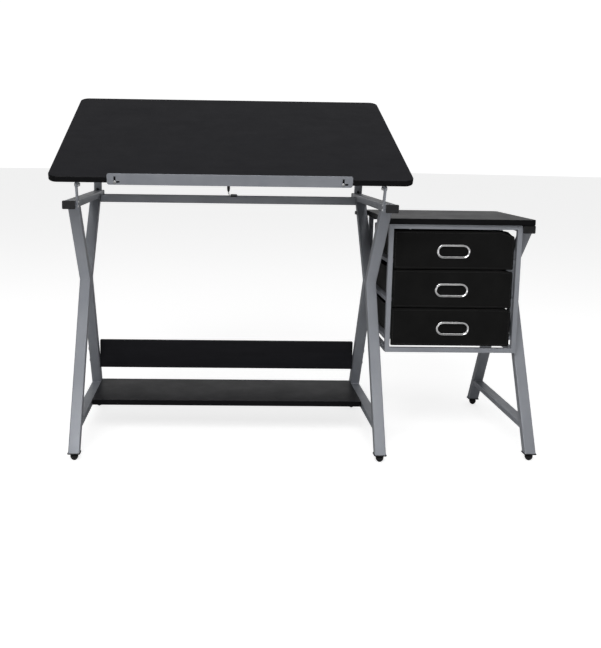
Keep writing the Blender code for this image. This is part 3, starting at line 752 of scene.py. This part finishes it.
def frame_fasteners():
    """The bolts of the rail and the panel, the panel's dowels and the shelf's brackets."""
    rail_low, rail_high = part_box("rear_rail")
    panel_low, panel_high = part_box("back_panel")
    rail_y, rail_z = (rail_low.y + rail_high.y) / 2, (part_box("left_side_tube")[0].z + rail_high.z) / 2
    panel_z = (panel_low.z + panel_high.z) / 2
    half_spacing, dowel_inset = 0.020, 0.034
    heights = (panel_z - half_spacing, panel_z + half_spacing)
    bolts = []
    for side, outward in (("left", -RIGHT), ("middle", RIGHT)):
        x = facing(*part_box(f"{side}_side_tube"), outward.x)
        bolts.append((Vector((x, rail_y, rail_z)), outward))
        for z in heights:
            bolts.append((Vector((x, leg_middle(f"{side}_rear_leg", z), z)), outward))
    fasteners("frame_bolts", pan_head(0.0058, 0.0026), bolts, "base")
    dowels = []
    for x in (panel_low.x + dowel_inset, panel_high.x - dowel_inset):
        dowels += [(Vector((x, panel_high.y, z)), BACK) for z in heights]
    fasteners("panel_dowels", barrel_nut(0.005), dowels, "base")
    shelf_brackets()


def shelf_brackets():
    """Pressed steel tabs under the shelf's ends, each screwed up into the board."""
    low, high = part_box("lower_shelf")
    thick, width, reach, drop = 0.0016, 0.022, 0.026, 0.007
    into_tube, screw_reach, from_corner = 0.0015, 0.016, 0.035
    foot, top = low.z - drop, low.z - MM * 0.2
    shape = bmesh.new()
    screws = []
    for x, inward in ((low.x, 1), (high.x, -1)):
        start = x - inward * into_tube
        inner, end = start + inward * thick, start + inward * reach
        profile = [(start, foot), (inner, foot), (inner, top - thick), (end, top - thick)]
        profile += [(end, top), (start, top)]
        for y in (low.y + from_corner, high.y - from_corner):
            skin(shape, [[(px, y + side * width / 2, pz) for px, pz in profile] for side in (-1, 1)])
            screws.append((Vector((x + inward * screw_reach, y, top - thick)), -UP))
    bmesh.ops.recalc_face_normals(shape, faces=shape.faces)
    bmesh.ops.bevel(shape, geom=list(shape.edges), offset=0.0004, segments=2, affect="EDGES")
    add_piece("shelf_brackets", mesh_from(shape, "shelf_brackets"), [PAINT], "base", "silver_paint")
    fasteners("shelf_screws", pan_head(0.0036, 0.0020), screws, "base")


def top_fasteners():
    """The screws in the angles under the main top, and the bolts of the pivots and posts."""
    steel, from_edge = 0.0016, 0.010
    hands = (("left", 1), ("right", -1))
    screws = []
    for side, inward in hands:
        low, high = local_box(f"{side}_top_angle", TOP_AXES)
        x = facing(low, high, inward) - inward * from_edge
        for share in (0.10, 0.37, 0.63, 0.90):
            y = low.y + (high.y - low.y) * share
            screws.append((TOP_AXES @ Vector((x, y, high.z - steel)), TOP_AXES.to_3x3() @ -UP))
    fasteners("top_screws", pan_head(0.0040, 0.0022), screws, "tilting_top")
    pivot = Vector(JOINTS["tilt"]["pos_m"])
    tube_low, tube_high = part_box("left_side_tube")
    for side, inward in hands:
        inside = RIGHT * inward
        low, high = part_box(f"{side}_pivot_post")
        bolts = [(Vector((facing(low, high, -inward), pivot.y, pivot.z)), -inside)]
        fasteners(f"{side}_pivot_bolt", pan_head(0.0052, 0.0024), bolts, "base")
        web = facing(*local_box(f"{side}_top_angle", TOP_AXES), -inward) + inward * steel
        nuts = [(TOP_AXES @ Vector((web, 0.0, 0.0)), inside)]
        fasteners(f"{side}_pivot_nut", hex_head(0.0080, 0.0040, 0.0058), nuts, "tilting_top")
        x, y = facing(low, high, inward), (low.y + high.y) / 2 + 0.005
        bolts = [(Vector((x, y, z)), inside) for z in (tube_low.z + 0.0045, tube_high.z - 0.0035)]
        fasteners(f"{side}_post_bolts", pan_head(0.0032, 0.0018), bolts, "base")
        stay_fasteners(side, inward, tube_high.z)


def stay_fasteners(side, inward, tube_top):
    """The pin near a stay's top and the screw in the front of its sleeve."""
    slide = Vector(JOINTS[f"{side}_stay_slide"]["axis"])
    swivel = Vector(JOINTS[f"{side}_guide_swivel"]["pos_m"])
    axes = Matrix.Translation(swivel) @ Matrix.Rotation(-math.atan2(slide.y, slide.z), 4, "X")
    low, high = local_box(f"{side}_stay_bar", axes)
    below_end, above_tube = 0.0060, 0.0060
    pin = Vector((facing(low, high, inward), (low.y + high.y) / 2, high.z - below_end))
    pins = [(axes @ pin, RIGHT * inward)]
    fasteners(f"{side}_stay_pin", hex_head(0.0070, 0.0030, 0.0048), pins, f"{side}_stay")
    low, high = local_box(f"{side}_stay_guide", axes)
    face = Vector((0.0, low.y, tube_top - swivel.z + above_tube))
    screws = [(axes @ face, axes.to_3x3() @ -BACK)]
    head = pan_head(0.0038, 0.0024)
    fasteners(f"{side}_guide_screw", head, screws, f"{side}_guide", PLASTIC, "black_plastic")


def cabinet_fasteners():
    """The screws up into the side top, and the bolts that hold it to the middle frame."""
    screws = []
    for node in CABINET_FRAMES:
        low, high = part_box(node)
        tube = high.y - low.y
        for share in (0.16, 0.84):
            x = low.x + (high.x - low.x) * share
            screws.append((Vector((x, (low.y + high.y) / 2, high.z - tube)), -UP))
    fasteners("cabinet_screws", pan_head(0.0034, 0.0020), screws, "base")
    low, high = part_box("side_top")
    z = (low.z + high.z) / 2
    bolts = []
    for leg in ("middle_front_leg", "middle_rear_leg"):
        y = leg_middle(leg, z)
        if low.y < y < high.y:
            bolts.append((Vector((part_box(leg)[0].x, y, z)), -RIGHT))
    fasteners("side_table_bolts", hex_head(0.010, 0.0045, 0.0068), bolts, "base")
    low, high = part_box("right_side_tube")
    under = []
    for share in (0.15, 0.85):
        y = low.y + (high.y - low.y) * share
        under.append((Vector(((low.x + high.x) / 2, y, low.z)), -UP))
    fasteners("right_tube_screws", pan_head(0.0036, 0.0020), under, "base")


# ---- plastic ends and feet


def caps_and_feet():
    """End caps, leg plugs and levelling feet. Each kind shares one mesh."""
    boxes = [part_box(f"left_front_{kind}") for kind in ("cap", "plug", "leveller")]
    cap, plug, foot = [high - low for low, high in boxes]
    cap_mesh = tube_cap_mesh(cap)
    plug_mesh = leg_plug_mesh(plug)
    foot_mesh = levelling_foot_mesh(foot.z)
    fixed = ([PLASTIC], "base", "black_plastic")
    for side in SIDES:
        for end, turn in (("front", QUARTER), ("rear", -QUARTER)):
            name = f"{side}_{end}"
            low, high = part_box(f"{name}_cap")
            place = Matrix.Translation((low + high) / 2) @ Matrix.Rotation(turn, 4, "X")
            add_piece(f"{name}_end_cap", cap_mesh, *fixed, place, [f"{name}_cap"])
            low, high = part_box(f"{name}_plug")
            place = Matrix.Translation((low + high) / 2)
            add_piece(f"{name}_leg_plug", plug_mesh, *fixed, place, [f"{name}_plug"])
            low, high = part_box(f"{name}_leveller")
            place = Matrix.Translation(((low.x + high.x) / 2, (low.y + high.y) / 2, low.z))
            add_piece(f"{name}_levelling_foot", foot_mesh, [PLASTIC, ZINC], f"{name}_foot", "black_plastic",
                      place, [f"{name}_leveller"])


def tube_cap_mesh(size):
    """A push-in end cap with a crowned face."""
    width, thick, height = size
    crown = ((0.0, -0.5), (0.0, 0.05), (0.0003, 0.28), (0.0010, 0.44), (0.0022, 0.5))
    profile = [(inset, share * thick) for inset, share in crown]
    return loft_mesh("end_cap", inset_rings(width, height, 0.0030, profile, 8))


def leg_plug_mesh(size):
    """The flange of the plug under a leg, with its round boss hole."""
    width, depth, thick = size
    count = 72
    hole = 0.0045
    profile = [(0.0006, -0.5), (0.0, -0.25), (0.0, 0.25), (0.0006, 0.5)]
    outlines = inset_rings(width, depth, 0.0040, profile, 8)
    rings = [level_ring(evenly(outline, count), outline[0].z * thick) for outline in outlines]
    rings += [circle(hole, 0.5 * thick, count), circle(hole, -0.5 * thick, count)]
    return loft_mesh("leg_plug", rings, loop=True)


def levelling_foot_mesh(total):
    """A threaded stem on a fluted collar and a domed pad."""
    collar_top = total - 0.0100
    collar_low = 0.0150
    stem = 0.0038
    steps = 48
    rings = [circle(stem * 0.85, total - 0.0001, steps)]
    threads = 7
    for turn in range(threads * 2):
        height = total - 0.0006 - (total - 0.0006 - collar_top) * turn / (threads * 2 - 1)
        rings.append(circle(stem if turn % 2 else stem * 0.86, height, steps))
    stem_strips = len(rings) - 1
    flutes = 16
    for height, radius in ((collar_top, 0.0062), (collar_low + 0.0005, 0.0066)):
        rings.append(polar_ring(lambda a, r=radius: r * (1 + 0.03 * math.cos(flutes * a)), height, steps))
    for radius, height in ((0.0096, collar_low), (0.0104, collar_low - 0.0008), (0.0105, 0.0120)):
        rings.append(circle(radius, height, steps))
    for step in range(1, 9):
        angle = QUARTER * step / 9
        rings.append(circle(0.0105 * math.cos(angle), 0.0120 * (1 - math.sin(angle)) ** 0.9, steps))
    rings.append(circle(0.0014, 0.0, steps))
    strips = [1] * stem_strips + [0] * (len(rings) - 1 - stem_strips)
    return loft_mesh("levelling_foot", rings, strips=strips, cap_materials=(1, 0))


# ---- ledge and lever


def plate_mesh(name, outlines, thickness, edge):
    """A flat plate with holes and softened edges."""
    curve = bpy.data.curves.new(name, "CURVE")
    curve.dimensions = "2D"
    curve.fill_mode = "BOTH"
    curve.extrude = thickness / 2 - edge
    curve.bevel_depth = edge
    curve.bevel_resolution = 2
    curve.offset = -edge
    for outline in outlines:
        spline = curve.splines.new("POLY")
        spline.points.add(len(outline) - 1)
        for point, (x, y) in zip(spline.points, outline):
            point.co = (x, y, 0.0, 1.0)
        spline.use_cyclic_u = True
    holder = add_object(name, curve)
    bpy.context.view_layer.update()
    flat = bpy.data.meshes.new_from_object(holder.evaluated_get(bpy.context.evaluated_depsgraph_get()))
    bpy.data.objects.remove(holder)
    shape = bmesh.new()
    shape.from_mesh(flat)
    bpy.data.meshes.remove(flat)
    bmesh.ops.remove_doubles(shape, verts=shape.verts, dist=1e-6)
    bmesh.ops.recalc_face_normals(shape, faces=shape.faces)
    return mesh_from(shape, name)


def slot_outline(x, y, width, foot, rise):
    """An L slot: a vertical stroke with a foot to its right. x, y is its lower left corner."""
    inner, right = x + width, x + width + foot
    lip, top = y + width, y + width + rise
    return [(x, y), (right, y), (right, lip), (inner, lip), (inner, top), (x, top)]


def ledge():
    """The ledge strip with its two slots, and the heads of the screws that it hangs on."""
    low, high = local_box("pencil_ledge", TOP_AXES)
    size = high - low
    centre = (low + high) / 2
    width, foot, rise = 0.0048, 0.0095, 0.0125
    outlines = [rounded_rectangle(size.x, size.z, 0.005, 8)]
    screws = {}
    for node in ("left_ledge_screw", "right_ledge_screw"):
        screw_low, screw_high = local_box(node, TOP_AXES)
        screws[node] = (screw_low + screw_high) / 2
        head = screws[node] - centre
        outlines.append(slot_outline(head.x - width / 2, head.z - width / 2, width, foot, rise))
    mesh = plate_mesh("ledge_strip", outlines, size.y, 0.0005)
    place = TOP_AXES @ Matrix.Translation(centre) @ UPRIGHT
    add_piece("ledge_strip", mesh, [PAINT], "ledge", "silver_paint", place, ["pencil_ledge"])
    for node, middle in screws.items():
        face = Vector((middle.x, low.y - 0.0003, middle.z))
        places = [(TOP_AXES @ face, TOP_AXES.to_3x3() @ -BACK)]
        fasteners(f"{node}_head", pan_head(0.0042, 0.0021), places, "tilting_top", stands_for=[node])


def lever():
    """The release lever: bent wire, a ribbed teardrop sleeve and a round-ended grip."""
    axis = Vector(JOINTS["lever_pull"]["pos_m"])
    wire_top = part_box("release_lever")[1].z
    sleeve_low, sleeve_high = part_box("release_sleeve")
    grip_low, grip_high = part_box("release_grip")
    _, y, z = (grip_low + grip_high) / 2
    radius = 0.0014
    route = [
        Vector((axis.x, axis.y, wire_top - 0.0002)),
        Vector((axis.x, axis.y, sleeve_low.z)),
        Vector((axis.x + 0.0006, axis.y - 0.0006, z + 0.0046)),
        Vector((axis.x + 0.0022, y, z + 0.0018)),
        Vector((axis.x + 0.0048, y, z)),
        Vector((grip_high.x - 0.0060, y, z)),
    ]
    smooth = []
    for a, b, c in zip([route[0], *route], route, [*route[1:], route[-1]]):
        smooth += [(a + b * 3) / 4, (b * 3 + c) / 4] if a != b != c else [b]
    mesh = loft_mesh("lever_wire", tube_along(smooth, radius, 14))
    add_piece("lever_wire", mesh, [ZINC], "lever", "zinc_steel", stands_for=["release_lever"])
    bore = radius + 0.0003
    length = sleeve_high.z - sleeve_low.z
    # The moulded sleeve is a teardrop: narrow where it leaves the board, fullest half way down.
    profile = [(bore, length), (0.0024, length), (0.0030, length - 0.0012), (0.0036, length * 0.72)]
    ribs = 4
    for rib in range(ribs * 2):
        share = rib / (ribs * 2 - 1)
        belly = 0.0039 - 0.0005 * share * share
        profile.append((belly if rib % 2 else belly * 0.94, length * (0.66 - 0.34 * share)))
    profile += [(0.0029, length * 0.18), (0.0022, length * 0.04), (0.0019, 0.0002), (bore, 0.0)]
    mesh = loft_mesh("lever_sleeve", [circle(*corner) for corner in profile], loop=True)
    place = Matrix.Translation((axis.x, axis.y, sleeve_low.z))
    add_piece("lever_sleeve", mesh, [PLASTIC], "lever", "black_plastic", place, ["release_sleeve"])
    length = grip_high.x - grip_low.x
    wide = (grip_high.z - grip_low.z) / 2
    profile = [(bore, 0.0), (wide * 0.82, 0.0), (wide, 0.0010), (wide, length - 0.0028)]
    for step in range(1, 6):
        angle = QUARTER * step / 6
        profile.append((wide * math.cos(angle), length - 0.0028 + 0.0028 * math.sin(angle)))
    mesh = loft_mesh("lever_grip", [circle(*corner) for corner in profile])
    place = Matrix.Translation((grip_low.x, y, z)) @ Matrix.Rotation(QUARTER, 4, "Y")
    add_piece("lever_grip", mesh, [PLASTIC], "lever", "black_plastic", place, ["release_grip"])


# ---- fabric drawers

DRAWERS = ("upper", "middle", "lower")
# How far the loose right front corner of each drawer has dropped.
CORNER_DROOP = {"upper": 0.0125, "middle": 0.0030, "lower": 0.0025}
DROOP_LENGTH = 0.042
FRONT_THICKNESS = 0.0050
# How far the tub's rim lies below the top of the front.
RIM_DROP = 0.0042
WALL = 0.0030
AROUND = 240
GRIP_RIM = 0.0058


def smooth_step(value):
    held = min(1.0, max(0.0, value))
    return held * held * (3 - 2 * held)


class Drawer:
    """One sewn drawer: where its panels lie and how its cloth bulges."""

    def __init__(self, name):
        self.name = name
        self.low, self.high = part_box(f"{name}_drawer")
        self.grip_low, self.grip_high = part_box(f"{name}_handle")
        self.seed = Vector((3.1 * DRAWERS.index(name), 0.0, 1.7))
        self.centre = (self.low + self.high) / 2
        self.width = self.high.x - self.low.x
        self.height = self.high.z - self.low.z
        self.body = f"{name}_drawer_unit"
        behind = self.low.y + 4 * FRONT_THICKNESS
        self.floor = min(corner.z for corner in corners_of(f"{name}_drawer") if corner.y > behind)
        self.rim = self.high.z - RIM_DROP

    def add(self, part, mesh, material=CLOTH, slot="black_fabric", place=STILL, stands_for=()):
        add_piece(f"{self.name}_{part}", mesh, [material], self.body, slot, place, stands_for)

    def droop(self, x, z):
        """How far a point sinks because the right front corner has lost its stiffening."""
        near = max(0.0, (x - (self.high.x - DROOP_LENGTH)) / DROOP_LENGTH) ** 1.25
        level = smooth_step((z - self.centre.z) / (self.high.z - self.centre.z))
        return CORNER_DROOP[self.name] * near * level

    def face_y(self, x, z):
        """The front cloth's own relief: a slight crown, slack waves and puckers along its hems."""
        u = (x - self.low.x) / self.width
        v = (z - self.low.z) / self.height
        crown = 0.0044 * math.sqrt(max(0.0, u * (1 - u)) * max(0.0, v * (1 - v)))
        slack = noise.noise(Vector((x * 11, 0.0, z * 24)) + self.seed) * 0.0007
        fine = noise.noise(Vector((x * 46, 3.0, z * 60)) + self.seed) * 0.00022
        edge = min(x - self.low.x, self.high.x - x, z - self.low.z, self.high.z - z)
        phase = x * 420 + 2.0 * noise.noise(Vector((x * 30, 0, 0)))
        pucker = 0.00022 * math.sin(phase) * math.exp(-edge / 0.006)
        return self.low.y + 0.0009 - crown - slack - fine - pucker


def drawer_front(drawer):
    """The stiffened front panel, in one closed skin around its finger hole."""
    edge = 0.0024
    grip = (drawer.grip_low + drawer.grip_high) / 2
    hole_width = drawer.grip_high.x - drawer.grip_low.x - 2 * GRIP_RIM + 0.0012
    hole_height = drawer.grip_high.z - drawer.grip_low.z - 2 * GRIP_RIM + 0.0012
    oval = rounded_rectangle(hole_width, hole_height, hole_height / 2 - 1e-5, 16, (grip.x, grip.z))
    hole = evenly(oval, AROUND)

    def outer(inset):
        size = (drawer.width - 2 * inset, drawer.height - 2 * inset)
        corner = max(0.0032 - inset, 0.0008)
        centre = (drawer.centre.x, drawer.centre.z)
        return evenly(rounded_rectangle(*size, corner, 6, centre), AROUND)

    def placed(x, depth, z):
        return Vector((x, depth, z - drawer.droop(x, z)))

    rings = []
    across_steps = 26
    inner_edge = outer(edge)
    for step in range(across_steps + 1):
        share = step / across_steps
        ring = []
        for a, b in zip(hole, inner_edge):
            point = a.lerp(b, share)
            ring.append(placed(point.x, drawer.face_y(point.x, point.y), point.y))
        rings.append(ring)
    for step in range(1, 5):
        angle = QUARTER * step / 4
        ring = []
        for point, base in zip(outer(edge * (1 - math.sin(angle))), inner_edge):
            depth = drawer.face_y(base.x, base.y) + edge * (1 - math.cos(angle))
            ring.append(placed(point.x, depth, point.y))
        rings.append(ring)
    rear = drawer.low.y + FRONT_THICKNESS
    rings.append([placed(point.x, rear, point.y) for point in outer(0.0006)])
    rings.append([placed(point.x, rear, point.y) for point in hole])
    mesh = loft_mesh(f"{drawer.name}_front", rings, loop=True)
    drawer.add("drawer_front", mesh, stands_for=[f"{drawer.name}_drawer"])


def tub_outline(drawer, inset):
    front = drawer.low.y + FRONT_THICKNESS + 0.0004
    centre = (drawer.centre.x, (front + drawer.high.y) / 2)
    size = (drawer.width - 2 * inset - 0.0004, drawer.high.y - front - 2 * inset)
    return evenly(rounded_rectangle(*size, max(0.006 - inset, 0.0015), 6, centre), AROUND)


def tub_point(drawer, point, z):
    """A wall point after the cloth has bowed and its rim has sagged."""
    level = (z - drawer.floor) / (drawer.rim - drawer.floor)
    front = drawer.low.y + FRONT_THICKNESS
    along = (point.y - front) / (drawer.high.y - front)
    side = (point.x - drawer.centre.x) / (drawer.width / 2)
    hang = 4 * along * (1 - along)
    bow = 0.0022 * hang * smooth_step(abs(side) * 3 - 2) * math.sin(math.pi * min(1, level * 0.9))
    ripple = noise.noise(Vector((point.x * 18, point.y * 18, z * 26)) + drawer.seed) * 0.0007 * level
    shift = -math.copysign(1, side) * (bow + abs(ripple)) * (1 if abs(side) > 0.9 else 0)
    waver = 0.0006 * noise.noise(Vector((point.x * 9, point.y * 9, 5)) + drawer.seed)
    sag = (0.0026 * hang + waver) * level ** 3
    droop = drawer.droop(point.x, z) * max(0, 1 - along * 6)
    return Vector((point.x + shift, point.y, z - sag - droop))


def drawer_tub(drawer):
    """The sewn walls and floor, with a turned hem along the rim."""
    floor, rim = drawer.floor, drawer.rim
    steps = 16

    def wall(inset, z):
        return [tub_point(drawer, point, z) for point in tub_outline(drawer, inset)]

    rings = [level_ring(tub_outline(drawer, 0.0030), floor)]
    rings.append(level_ring(tub_outline(drawer, 0.0009), floor + 0.0008))
    for step in range(1, steps + 1):
        rings.append(wall(0.0, floor + 0.0022 + (rim - floor - 0.0022) * step / steps))
    for inset, lift in ((0.0004, 0.0008), (0.0015, 0.0012), (0.0026, 0.0008)):
        rings.append([point + UP * lift for point in wall(inset, rim)])
    for step in range(steps, 0, -1):
        rings.append(wall(WALL, floor + WALL + (rim - floor - WALL) * step / steps))
    rings.append(level_ring(tub_outline(drawer, WALL + 0.0012), floor + WALL))
    drawer.add("drawer_tub", loft_mesh(f"{drawer.name}_tub", rings))


def drawer_floor_board(drawer):
    """The loose stiffening board in the bottom, wrapped in the same cloth."""
    thick = 0.0024
    rings = []
    for inset, height in ((0.0012, 0.0), (0.0, 0.0006), (0.0, thick - 0.0006), (0.0012, thick)):
        ring = []
        for p in tub_outline(drawer, WALL + 0.0040 + inset):
            lift = 0.0005 * noise.noise(Vector((p.x * 12, p.y * 12, 8)) + drawer.seed) if height else 0.0
            ring.append(Vector((p.x, p.y, drawer.floor + WALL + 0.0003 + height + lift)))
        rings.append(ring)
    drawer.add("drawer_floor_board", loft_mesh(f"{drawer.name}_floor_board", rings))


STITCH_LENGTH = 0.0030
STITCH_PITCH = 0.0046
STITCH_RADIUS = 0.00032


def stitch_rings(start, end, lift):
    """One stitch: a short capsule that arches off the cloth."""
    run = end - start
    side = run.cross(lift).normalized()
    arch = ((0.0, 0.3, -0.4), (0.15, 0.9, 0.3), (0.5, 1.0, 0.7), (0.85, 0.9, 0.3), (1.0, 0.3, -0.4))
    rings = []
    for share, size, rise in arch:
        centre = start + run * share + lift * STITCH_RADIUS * rise
        rings.append(ring_about(centre, side, lift, STITCH_RADIUS * size, 6))
    return rings


def drawer_stitches(drawer):
    """The stitched hem around the front panel."""
    shape = bmesh.new()
    inset = 0.0048
    left, right = drawer.low.x + inset, drawer.high.x - inset
    low, high = drawer.low.z + inset, drawer.high.z - inset
    corners = [Vector((left, low)), Vector((right, low)), Vector((right, high)), Vector((left, high))]
    for a, b in zip(corners, corners[1:] + corners[:1]):
        length = (b - a).length
        count = int(length / STITCH_PITCH)
        for index in range(count):
            share = (index + 0.15) / count
            ends = []
            for p in (a.lerp(b, share), a.lerp(b, share + STITCH_LENGTH / length)):
                ends.append(Vector((p.x, drawer.face_y(p.x, p.y), p.y - drawer.droop(p.x, p.y))))
            skin(shape, stitch_rings(*ends, -BACK))
    bmesh.ops.recalc_face_normals(shape, faces=shape.faces)
    drawer.add("drawer_stitches", mesh_from(shape, f"{drawer.name}_stitches"), THREAD)


def grip_ring(drawer):
    """The rolled chrome ring: a crowned outer flange, a valley and a lip that turns into the hole."""
    low, high = drawer.grip_low, drawer.grip_high
    centre = (low + high) / 2
    width, height = high.x - low.x, high.z - low.z
    thick = high.y - low.y
    # Each pair is a share of the rim's width and a height in ring thicknesses.
    section = [(0.0, 0.00), (0.01, 0.35), (0.06, 0.72), (0.16, 0.95), (0.27, 1.00), (0.40, 0.80)]
    section += [(0.52, 0.52), (0.66, 0.40), (0.78, 0.52), (0.88, 0.55), (0.96, 0.30), (1.0, -0.10)]
    section += [(1.0, -2.2), (0.91, -2.2), (0.90, 0.0)]
    rings = []
    for share, level in section:
        inset = share * GRIP_RIM
        radius = height / 2 - inset - 1e-5
        outline = evenly(rounded_rectangle(width - 2 * inset, height - 2 * inset, radius, 24), 160)
        rings.append([Vector((p.x, p.y, level * thick)) for p in outline])
    mesh = loft_mesh(f"{drawer.name}_grip_ring", rings, loop=True)
    place = Matrix.Translation((centre.x, high.y, centre.z)) @ UPRIGHT
    drawer.add("grip_ring", mesh, CHROME, "chrome", place, [f"{drawer.name}_handle"])


def fabric_drawers():
    for name in DRAWERS:
        drawer = Drawer(name)
        drawer_front(drawer)
        drawer_tub(drawer)
        drawer_floor_board(drawer)
        drawer_stitches(drawer)
        grip_ring(drawer)


# ---- the whole scene

add_camera()
add_studio()
boards()
tubes()
welds()
frame_fasteners()
top_fasteners()
cabinet_fasteners()
caps_and_feet()
ledge()
lever()
fabric_drawers()
